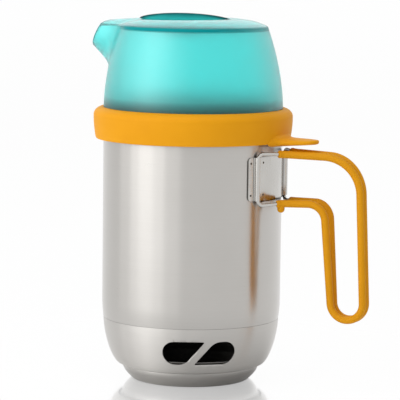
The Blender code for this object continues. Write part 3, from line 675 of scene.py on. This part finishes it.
makeSkirt()


# Base ring

ring = {
    "footRadius": 0.0430, "footWidth": 0.0030, "shoulderRadius": 0.0505, "shoulderZ": 0.0110,
    "flangeStart": 0.0012, "flangeHeight": 0.0090, "lastStep": 0.0004, "clearance": 0.0003, "edge": 0.0006,
}


def makeRing():
    # flat lip, dished side whose radius grows with the sine of its height, flange inside the skirt, and back
    radius, lip = ring["footRadius"], ring["footRadius"] - ring["footWidth"]
    share = np.linspace(0, 1, 14)[1:]
    grown = blend(radius, ring["shoulderRadius"], np.sin(share * math.pi / 2))
    dish = together(grown, ring["shoulderZ"] * share)
    within = offsetLine(skirtSide(), sheet + ring["clearance"])
    start, high = ring["flangeStart"], ring["flangeHeight"]
    z = skirt["bottomZ"] + np.append(np.linspace(start, high - ring["lastStep"], 6), high)
    outer = np.vstack([dish, together(np.interp(z, within[:, 1], within[:, 0]), z)])
    foot = [[lip, 0], [radius - ring["edge"], 0], [radius, ring["edge"] / 3]]
    back = offsetLine(outer, sheet)[::-1]
    outline = np.vstack([foot, outer, back, [[radius - sheet, sheet], [lip, sheet]]])
    # painted shade: the flange's face inside the skirt and the back are marked as inside; the foot, the dish
    # and the flange's top edge are not
    inner, edge = np.ones(len(outline)), len(foot) + len(outer)
    inner[:len(foot) + len(dish)] = inner[edge - 1:edge + 1] = 0
    addTurned("base_ring_shell", outline, inner,
              steelSatin, "pot", "brushed_steel", ["base_ring"], True)


makeRing()


# Lid

def offSpout(heading):
    # how far a heading lies from the spout's own, which is 180 degrees
    return np.abs(np.abs(np.arctan2(np.sin(heading), np.cos(heading))) - math.pi)


def bell(heading, spread):
    return np.exp(-0.5 * (offSpout(heading) / math.radians(spread)) ** 2)


def lidOutline(heading, z):
    # tapered wall, plus a bell of the heading times a smooth step of the height for the spout
    share = np.clip((z - lid["seatZ"]) / (lid["shoulderZ"] - lid["seatZ"]), 0, 1)
    radius = blend(lid["radius"], lid["topRadius"], share ** lid["taper"])
    rise = smoothStep((z - lid["spoutRootZ"]) / (lid["spoutFullZ"] - lid["spoutRootZ"]))
    return radius + lid["spoutGrowth"] * rise * bell(heading, lid["spoutSpread"])


def crownHeight(x, y):
    # a dome that falls with a power of the share of the way to the edge, softer towards the spout
    heading = np.arctan2(y, x)
    share = np.hypot(x, y) / lidOutline(heading, lid["shoulderZ"])
    power = blend(lid["crownPower"], lid["spoutCrownPower"], bell(heading, 2 * lid["spoutSpread"]))
    return lidTop - (lid["crown"] - lid["edgeRise"]) * share ** power


def dishHeight(x, y):
    # the ball that presses the finger dish
    away = np.hypot(x - lid["dishCentre"], y)
    return dishRimZ - lid["dishDepth"] + dishBall - np.sqrt(np.clip(dishBall ** 2 - away ** 2, 0, None))


def lidSurface(heading, v):
    # v 0 to 1 goes up the wall, 1 to 2 in over the crown to the dish's rim, 2 to 3 down to the dish's middle
    z = blend(lid["footZ"], lid["shoulderZ"], np.clip(v, 0, 1))
    radius, edge = lidOutline(heading, z), lidOutline(heading, lid["shoulderZ"])
    cos, sin, inward = np.cos(heading), np.sin(heading), np.clip(v - 1, 0, 1) ** 1.5
    edgeX, edgeY, reach = edge * cos, edge * sin, lid["dishRadius"] * np.clip(3 - v, 0, 1)
    x = np.where(v > 1, blend(edgeX, lid["dishCentre"] + reach * cos, inward), radius * cos)
    y = np.where(v > 1, blend(edgeY, reach * sin, inward), radius * sin)
    fromEdge = np.hypot(x - edgeX, y - edgeY)
    roll = 1 - np.sqrt(1 - (1 - np.clip(fromEdge / lid["edgeRadius"], 0, 1)) ** 2)
    dome, ball = crownHeight(x, y) - lid["edgeRise"] * roll, dishHeight(x, y)
    soft, low = lid["softRim"], np.minimum(dome, ball)
    dished = low - soft * np.log(np.exp((low - dome) / soft) + np.exp((low - ball) / soft))
    return together(x, y, np.where(v > 1, dished, z))


opening = {
    "fineHalf": 34, "fine": 137, "coarse": 147, "rows": (46, 8, 34, 16), "search": 1500,
    "parted": 0.10, "partedOver": 12, "crownPower": 1.2,
}


def makeLid():
    # headings lie closer together round the spout; each row of v bends so that one follows the mouth's cut
    half = opening["fineHalf"]
    coarse = np.linspace(half, 360 - half, opening["coarse"])[1:-1]
    headings = np.radians(180 + np.concatenate([np.linspace(-half, half, opening["fine"]), coarse]))
    v = np.linspace(0.5, 2, opening["search"])
    surface = lidSurface(headings[:, None], v[None])
    ahead = mouthSide(surface[..., 0], surface[..., 2]) > 0
    cut = ahead.any(1)
    enter, leave = v[np.argmax(ahead, axis=1)], v[len(v) - 1 - np.argmax(ahead[:, ::-1], axis=1)]
    off = np.degrees(offSpout(headings))
    corner = (enter + leave)[cut][np.argmax(off[cut])] / 2
    parted = opening["parted"] * smoothStep((off - off[cut].max()) / opening["partedOver"])
    first, second = np.where(cut, enter, corner - parted), np.where(cut, leave, corner + parted)
    below, across, above, dish = opening["rows"]
    wall = np.linspace(0, 1, below)[:, None] * first
    between = blend(first, second, np.linspace(0, 1, across + 1)[1:, None])
    crown = blend(second, 2, np.linspace(0, 1, above + 1)[1:, None] ** opening["crownPower"])
    bowl = 2 + np.linspace(0, 1, dish + 1)[1:, None] + 0 * first
    v = np.vstack([wall, between, crown, bowl])
    outer = lidSurface(headings[None], v)
    normal = np.cross(np.roll(outer, -1, axis=1) - np.roll(outer, 1, axis=1), np.gradient(outer, axis=0))
    size = np.linalg.norm(normal, axis=2, keepdims=True)
    normal = np.where(size > 1e-14, normal / np.maximum(size, 1e-14), [0, 0, 1])
    normal[-1] = [0, 0, 1]
    inner = outer - lid["wall"] * normal
    faces = gridFaces(*v.shape)
    row, column = faces[:, 0] // len(headings), faces[:, 0] % len(headings)
    mouth = (row >= below - 1) & (row < below - 1 + across) & (cut[column] | np.roll(cut, -1)[column])
    outer, inner = (points.reshape(-1, 3) + [axisX, 0, 0] for points in (outer, inner))
    groups, outer, inner = weld(faces[~mouth], outer, inner)
    points, groups = thicken(outer, inner, groups)
    addPiece("lid_cover", points, groups, plasticTeal, "lid", "teal_frosted_plastic", ["lid_shell"], 50)


makeLid()


def makeFin():
    # a thin plate with rounded edges: its crest is a power of half a sine and its foot follows the dish
    t = np.linspace(0, math.pi, 57)
    x = finHalf * np.cos(t)
    foot = np.minimum(dishHeight(x + lid["dishCentre"], 0) - lid["finRoot"], dishRimZ - lid["finDepth"])
    crest = finBaseZ + lid["finRise"] * np.clip(np.sin(t), 0, 1) ** lid["finPower"]
    crest = np.maximum(crest, foot + lid["finLeast"])
    turn = np.linspace(-math.pi / 2, math.pi / 2, 11)
    y = lid["finThick"] / 2 * np.sign(np.sin(turn)) * np.abs(np.sin(turn)) ** lid["finRounding"]
    over = np.minimum(lid["finThick"] / 2, (crest - foot)[:, None] * 0.5)
    top = crest[:, None] - over * (1 - np.abs(np.cos(turn)) ** lid["finRounding"])
    side, low = together(x[:, None], y, top), together(x[:, None], y, foot[:, None])[:, [-1, 0]]
    rings = capped(np.concatenate([side, low], axis=1)) + [axisX + lid["dishCentre"], 0, 0]
    addRings("lid_fin", rings, plasticDeep, "lid", "teal_frosted_plastic")


makeFin()


# Seal band and its pull tab

band = {
    "radius": 0.0734, "bottomZ": 0.1785, "widestZ": 0.1955, "taper": 0.0017, "topZ": 0.2015, "gap": 0.0003,
    "web": 0.0027, "plugDepth": 0.0088, "plugWall": 0.0032, "plugLead": 0.0010, "lipHeight": 0.0040,
    "capClearance": 0.0004, "footTop": 0.1946, "footReach": 0.0688, "edge": 0.0006,
    "crisp": 0.0003, "eased": 0.0004, "plugRound": 0.0010, "bottomRound": 0.0005,
}


def makeBand():
    # barrel side that narrows with the square of the drop, quarter ellipse over the top, grooves and plug
    bottom, widest, crisp, eased = band["bottomZ"], band["widestZ"], band["crisp"], band["eased"]
    z = np.linspace(bottom, widest, 18)
    side = together(band["radius"] - band["taper"] * ((widest - z) / (widest - bottom)) ** 2, z)
    edge = arcPoints((side[0, 0] - band["edge"], bottom + band["edge"]), band["edge"], -90, 0, 5)
    groove = lid["radius"] + band["gap"]
    turn = np.linspace(0, math.pi / 2, 16)[1:]
    top = together(blend(groove, band["radius"], np.cos(turn)), blend(widest, band["topZ"], np.sin(turn)))
    webBottom = pot["rimZ"] + band["gap"]
    webTop = webBottom + band["web"]
    lipTop, plugEnd = webTop + band["lipHeight"], webBottom - band["plugDepth"]
    plugOuter = pot["radius"] - sheet - band["gap"]
    plugInner, lead = plugOuter - band["plugWall"], band["plugLead"]
    capInner = pot["radius"] - sheet + 2 * pot["bead"] + band["capClearance"]
    lidInner, lidFoot = lid["radius"] - lid["wall"] - band["gap"], band["footReach"] + band["gap"]
    back = rounded([
        (groove, band["topZ"], 0), (groove, band["footTop"], 0), (lidFoot, band["footTop"], 0),
        (lidFoot, webTop, eased), (lidInner, webTop, crisp), (lidInner, lipTop, eased),
        (plugInner, lipTop, band["plugRound"]), (plugInner, plugEnd, band["plugRound"]),
        (plugOuter - lead, plugEnd, crisp), (plugOuter, plugEnd + lead, crisp), (plugOuter, webBottom, crisp),
        (capInner, webBottom, crisp), (capInner, bottom, band["bottomRound"])], 4)[1:]
    outline = np.vstack([edge, side[1:], top, back])
    # painted shade: the back, with its grooves, web and plug, is marked as inside and takes the dark inner
    # colour
    addTurned("seal_band", outline, np.arange(len(outline)) >= len(outline) - len(back),
              siliconeBand, "lid", "orange_silicone", ["seal_ring"], True)


makeBand()

tab = {
    "reach": 0.0995, "halfWidth": 0.0110, "flare": 0.0095, "flareLength": 0.0035, "rootX": 0.0690,
    "rootThick": 0.0068, "tipThick": 0.0030, "tipRound": 0.0016, "z": 0.1794, "rise": 0.0008,
    "fillet": 0.0030, "filletStart": 0.0030, "filletLength": 0.0018, "squareness": 0.72,
}


def makeTab():
    # superellipse sections along x: width and thickness flare into the band and close over a round tip
    share = np.sin(np.linspace(0, math.pi / 2, 60))[:, None]
    x = blend(tab["rootX"], tab["reach"], share)
    run = x - tab["rootX"]
    beyond = np.clip(x - (tab["reach"] - tab["halfWidth"]), 0, None)
    width = np.sqrt(np.clip(tab["halfWidth"] ** 2 - beyond ** 2, 0, None))
    width += tab["flare"] * np.exp(-run / tab["flareLength"])
    toTip = ((x - tab["reach"] + tab["tipRound"]).clip(0) / tab["tipRound"]) ** 2
    thick = blend(tab["rootThick"], tab["tipThick"], share) * np.sqrt(np.clip(1 - toTip, 0, 1))
    up = tab["fillet"] * np.exp(-np.clip(run - tab["filletStart"], 0, None) / tab["filletLength"])
    turn = fullTurn(40)
    flat, tall = (np.sign(wave) * np.abs(wave) ** tab["squareness"] for wave in (np.cos(turn), np.sin(turn)))
    z = tab["z"] + tab["rise"] * share + (thick / 2 + up * (tall > 0)) * tall
    rings = capped(together(axisX + x, width * flat, z))[:-1]
    addRings("pull_tab", rings, siliconeBand, "lid", "orange_silicone", (), 50)


makeTab()


# Handle loops

handle = {
    "wireRadius": 0.0014, "sleeveRadius": 0.00275, "halfGap": 0.00279, "spread": 0.0030, "reach": 0.1407,
    "hingeRadius": 0.0679, "hingeAngle": 21.3, "elbowX": 0.0770, "elbowY": 0.0100, "elbowBend": 0.0080,
    "sleeveStartX": 0.0735, "topZ": 0.1718, "lowZ": 0.1342, "footZ": 0.0529, "gripWidth": 0.0245,
    "outerLean": 0.0052, "innerLean": 0.0062, "topFall": 0.0018, "lowRise": 0.0020, "bigBend": 0.0275,
    "smallBend": 0.0125, "turnRadius": 0.0122, "pinLength": 0.0110, "pinBend": 0.0042,
    "wireSpacing": 0.0010, "wireEnd": 0.0005, "wireTip": 0.0008, "wireSides": 20,
    "sleeveSpacing": 0.0008, "sleeveEnd": 0.0009, "sleeveLip": 0.0004, "sleeveSides": 28,
    "nubRadius": 0.0027, "nubLength": 0.0070, "nubLean": 0.02, "nubTip": 0.0001,
    "nubShift": (-0.0005, 0, 0.0004),
}
hingeTurn = math.radians(handle["hingeAngle"])
hingeOut = np.array([math.cos(hingeTurn), math.sin(hingeTurn)])
hingeX, hingeY = handle["hingeRadius"] * hingeOut


def loopPath(side, spacing):
    # pin, elbow, big bend, down, round, up, small bend, elbow, pin
    h = handle
    farX = h["reach"] - h["sleeveRadius"]
    nearX = farX - h["gripWidth"]
    top, low, near, turn = h["topZ"], h["lowZ"], h["halfGap"], h["turnRadius"]
    line = rounded(np.array([
        (hingeX, hingeY, top - h["pinLength"], 0),
        (hingeX, hingeY, top, h["pinBend"]),
        (h["elbowX"], h["elbowY"], top - h["topFall"] / 3, h["elbowBend"]),
        (farX - h["outerLean"], near, top - h["topFall"], h["bigBend"]),
        (farX, near, h["footZ"], turn),
        (nearX, near, h["footZ"], turn),
        (nearX - h["innerLean"], near + h["spread"], low + h["lowRise"], h["smallBend"]),
        (h["elbowX"], h["elbowY"], low + h["lowRise"] * 2 / 3, h["elbowBend"]),
        (hingeX, hingeY, low, h["pinBend"]),
        (hingeX, hingeY, low + h["pinLength"], 0),
    ]) * [1, side, 1, 1] + [axisX, 0, 0, 0], 24)
    return evenly(line, int(runLength(line)[-1] / spacing) + 2)


def makeLoop(name, side):
    # the wire, and the sleeve that covers it past the elbows; gives the sleeve's middle line
    h = handle
    addTube(name + "_rod", loopPath(side, h["wireSpacing"]), h["wireRadius"], h["wireEnd"], h["wireTip"],
            h["wireSides"], steelBright, name, "polished_steel", [name + "_wire"])
    path = loopPath(side, h["sleeveSpacing"])
    covered = path[path[:, 0] > axisX + h["sleeveStartX"]]
    addTube(name + "_grip", covered, h["sleeveRadius"], h["sleeveEnd"], h["wireRadius"] + h["sleeveLip"],
            h["sleeveSides"], siliconeSleeve, name, "orange_silicone", [name + "_sleeve"])
    return covered


frontCovered = makeLoop("front_handle", -1)
makeLoop("back_handle", 1)


def makeNub():
    # a short stub that hangs below the front sleeve's lower end
    h = handle
    drop = np.linspace(0, h["nubLength"], 30)[:, None] * [h["nubLean"], 0, -1]
    addTube("front_handle_nub", frontCovered[-6] + h["nubShift"] + drop, h["nubRadius"], h["nubRadius"],
            h["nubTip"], h["sleeveSides"], siliconeSleeve, "front_handle", "orange_silicone")


makeNub()


# Hinge bracket

bracket = {
    "sheet": 0.0006, "gap": 0.0003, "halfHeight": 0.01575, "panelExtra": 0.0011, "halfAngle": 28.2,
    "corner": 0.0025, "z": 0.1536, "pinClearance": 0.0003, "edgeInset": 0.0006, "panelCorner": 0.0008,
    "knuckleShare": 1.22, "knuckleFoot": 0.0009, "points": 420, "softening": 9,
    "weldRadius": 0.0009, "weldHeights": (-0.0116, 0.0116), "weldTurns": (4.8, -6.1),
    "weldRise": 0.00014, "weldSink": 0.00002, "weldDepth": 0.0001,
}


def bracketLine():
    # plan of the sheet at mid thickness: panel on the wall, half circle over the pin, flange on the wall; a
    # bell over a few neighbours then softens its corners
    b = bracket
    flat = pot["radius"] + b["gap"] + b["sheet"] / 2
    bend = handle["wireRadius"] + b["pinClearance"] + b["sheet"] / 2
    half = bend / handle["hingeRadius"] * b["knuckleShare"]
    panel = np.linspace(0, hingeTurn - half, 40)
    flange = np.linspace(hingeTurn + half, math.radians(b["halfAngle"]), 26)
    angle = np.linspace(-math.pi / 2, math.pi / 2, 25)[:, None]
    over = [hingeX, hingeY] + bend * (hingeOut * np.cos(angle) + hingeOut[::-1] * [-1, 1] * np.sin(angle))
    foot = over[[0, -1]] - hingeOut * b["knuckleFoot"]
    upper = np.vstack([flat * together(np.cos(panel), np.sin(panel)), foot[:1], over, foot[1:],
                       flat * together(np.cos(flange), np.sin(flange))])
    line = evenly(np.vstack([upper[:0:-1] * [1, -1], upper]), b["points"])
    kernel, edge = np.hanning(b["softening"]), b["softening"] // 2
    spread = [np.pad(column, edge, mode="reflect", reflect_type="odd") for column in line.T]
    return together(*[np.convolve(column, kernel / kernel.sum(), "valid") for column in spread])


def bracketHeight(y):
    # half height of the sheet: tall between the knuckles, lower over them and rounded at the outer corners
    b = bracket
    edge = (pot["radius"] + b["gap"]) * math.sin(math.radians(b["halfAngle"]))
    step = hingeY - handle["wireRadius"] - b["pinClearance"] - b["sheet"] - b["edgeInset"]
    away = np.abs(y)
    tall = b["halfHeight"] + b["panelExtra"] * (1 - smoothStep((away - step) / b["panelCorner"]))
    into = np.clip(away - (edge - b["corner"]), 0, b["corner"] * 0.999)
    return tall - b["corner"] + np.sqrt(b["corner"] ** 2 - into ** 2)


def makeBracket():
    line = bracketLine()
    z = bracket["z"] + np.linspace(-1, 1, 21)[:, None] * bracketHeight(line[:, 1])
    front, back = (offsetLine(line, side * bracket["sheet"] / 2) for side in (-1, 1))
    front, back = (together(axisX + plan[:, 0], plan[:, 1], z).reshape(-1, 3) for plan in (front, back))
    points, groups = thicken(front, back, [gridFaces(*z.shape, closeColumns=False)])
    addPiece("bracket_sheet", points, groups, steelBright, "pot", "polished_steel", ["handle_bracket"], 45)


makeBracket()


def makeWelds():
    # eight shallow buttons: height falls with the square of the share of the radius
    b = bracket
    surface = pot["radius"] + b["gap"] + b["sheet"]
    share, turn = np.linspace(0, 1, 6)[:, None], fullTurn(16)
    flat = [share * b["weldRadius"] * wave for wave in (np.cos(turn), np.sin(turn))]
    rise = b["weldRise"] * (1 - share ** 2) - b["weldSink"]
    front, back = (together(out, *flat).reshape(-1, 3) for out in (rise, -b["weldDepth"]))
    faces, front, back = weld(gridFaces(6, 16), front, back)
    button, faces = thicken(front, back, faces)
    out, across, up = button.T + [[surface], [0], [b["z"]]]
    points, groups = [], []
    for side in (-1, 1):
        for extra in b["weldTurns"]:
            turn = side * (hingeTurn + math.radians(extra))
            for height in b["weldHeights"]:
                groups += [g + len(points) * len(button) for g in faces]
                points.append(together(axisX + out * math.cos(turn) - across * math.sin(turn),
                                       out * math.sin(turn) + across * math.cos(turn), height + up))
    addPiece("weld_spots", np.vstack(points), groups, steelWeld, "pot", "polished_steel")


makeWelds()


# Floor, light and camera

viewTurn = 25.0  # the camera stands this far round from the front, towards the handle
floor = {
    "half": 14.0, "drop": 0.0001, "white": (1, 1, 1, 1), "grey": (0.96, 0.96, 0.96, 1), "cloud": 3.0,
    "roughness": 0.07, "uneven": 0.03, "nearGlow": 0.12, "glowRadii": (0.072, 0.105),
    "black": (0.01, 0.01, 0.01, 1), "cardShare": 0.42, "cardSide": (0.00, 0.08), "cardRadii": (0.09, 0.20),
    "paper": 0.88, "ringRadii": (0.036, 0.042), "gloss": 0.63, "glossRadii": (0.10, 0.32),
}


def makeFloor():
    look, tree = floor, newTree("studioFloor")
    white, cloud = look["white"], tree.noise(look["cloud"], 3.0)
    surface = tree.shader(Base_Color=tree.mixColour(cloud, look["grey"], white),
                          Roughness=look["roughness"] + cloud * look["uneven"])
    glow = tree.add("ShaderNodeEmission", {"Color": white, "Strength": 1.0})
    x, y, _ = tree.place()
    away = x.distance(y)
    share = blend(look["nearGlow"], 1, tree.stretch(away, *look["glowRadii"]))
    lit = tree.mixShader(tree.seen() * share, surface, glow)
    # what the metal reflects: a black card lies in front of the pot and to its right
    black = tree.add("ShaderNodeBsdfDiffuse", {"Color": look["black"]})
    ahead = math.radians(viewTurn)
    across = x * (math.cos(ahead) + math.sin(ahead)) + y * (math.sin(ahead) - math.cos(ahead))
    card = tree.stretch(across, *look["cardSide"]) * (1 - tree.stretch(away, *look["cardRadii"]))
    lit = tree.mixShader(tree.ray(3) * card * look["cardShare"], lit, black)
    # seen straight: white paper, shaded inside the ring, under a gloss that fades away from the pot
    paper = tree.mixShader(look["paper"] * tree.stretch(away, *look["ringRadii"]), surface, glow)
    mirror = tree.add("ShaderNodeBsdfGlossy", {"Color": white, "Roughness": 0.09})
    gloss = tree.facing() * look["gloss"] * (1 - tree.stretch(away, *look["glossRadii"]))
    made = tree.finish(tree.mixShader(tree.ray(0), lit, tree.mixShader(gloss, paper, mirror)))
    mesh = bpy.data.meshes.new("studio_floor")
    half, z = look["half"], -look["drop"]
    corners = [(-half, -half, z), (half, -half, z), (half, half, z), (-half, half, z)]
    mesh.from_pydata(corners, [], [(0, 1, 2, 3)])
    mesh.materials.append(made)
    addObject("studio_floor", mesh)


makeFloor()

studio = {
    "ambient": 0.64, "aimZ": 0.13,
    # heading from the view's side of the pot, elevation, distance, width, height, power
    "softboxes": {
        "key_softbox": (-61, 16, 1.55, 0.60, 1.5, 1.6), "middle_softbox": (-60, 16, 1.6, 1.5, 1.5, 5.4),
        "broad_softbox": (-60, 16, 1.65, 3.3, 1.5, 9.0), "top_softbox": (-20, 72, 1.6, 1.2, 1.2, 6.5),
        "back_softbox": (-168, 34, 1.7, 1.8, 1.3, 1.8),
    },
}


def makeLight():
    # an even white surround, dimmer for the rays that only light the pieces, and the softboxes
    world = bpy.data.worlds.new("studio")
    bpy.context.scene.world = world
    tree = Tree(world)
    level = blend(studio["ambient"], 1, tree.seen())
    tree.finish(tree.add("ShaderNodeBackground", {"Color": (1, 1, 1, 1), "Strength": level}), "World")
    for name, (heading, elevation, distance, width, height, power) in studio["softboxes"].items():
        turn, up = math.radians(heading + viewTurn), math.radians(elevation)
        away = Vector((math.sin(turn) * math.cos(up), -math.cos(turn) * math.cos(up), math.sin(up)))
        lamp = bpy.data.lights.new(name, "AREA")
        lamp.shape, lamp.size, lamp.size_y, lamp.energy = "RECTANGLE", width, height, power
        stand = addObject(name, lamp)
        stand.location = Vector((axisX, 0, studio["aimZ"])) + away * distance
        stand.rotation_euler = away.to_track_quat("Z", "Y").to_euler()


makeLight()

shot = {
    "distance": 1.834, "height": 0.346, "pitch": 6.64, "yaw": 0.18, "roll": 0.72, "lens": 224.6, "sensor": 36,
    "clip": (0.05, 60),
}


def makeCamera():
    def turned(degrees, axis):
        return Matrix.Rotation(math.radians(degrees), 4, axis)

    aim = turned(-shot["yaw"], "Z") @ turned(90 - shot["pitch"], "X") @ turned(shot["roll"], "Z")
    stand = Matrix.Translation((0, -shot["distance"], shot["height"]))
    placed = Matrix.Translation((axisX, 0, 0)) @ turned(viewTurn, "Z") @ stand @ aim
    lens = bpy.data.cameras.new("camera")
    lens.lens, lens.sensor_width = shot["lens"], shot["sensor"]
    lens.clip_start, lens.clip_end = shot["clip"]
    camera = addObject("camera", lens)
    camera.matrix_world = placed
    bpy.context.scene.camera = camera


makeCamera()
bpy.context.scene.view_settings.view_transform = "Standard"
print("stage, light and camera set")
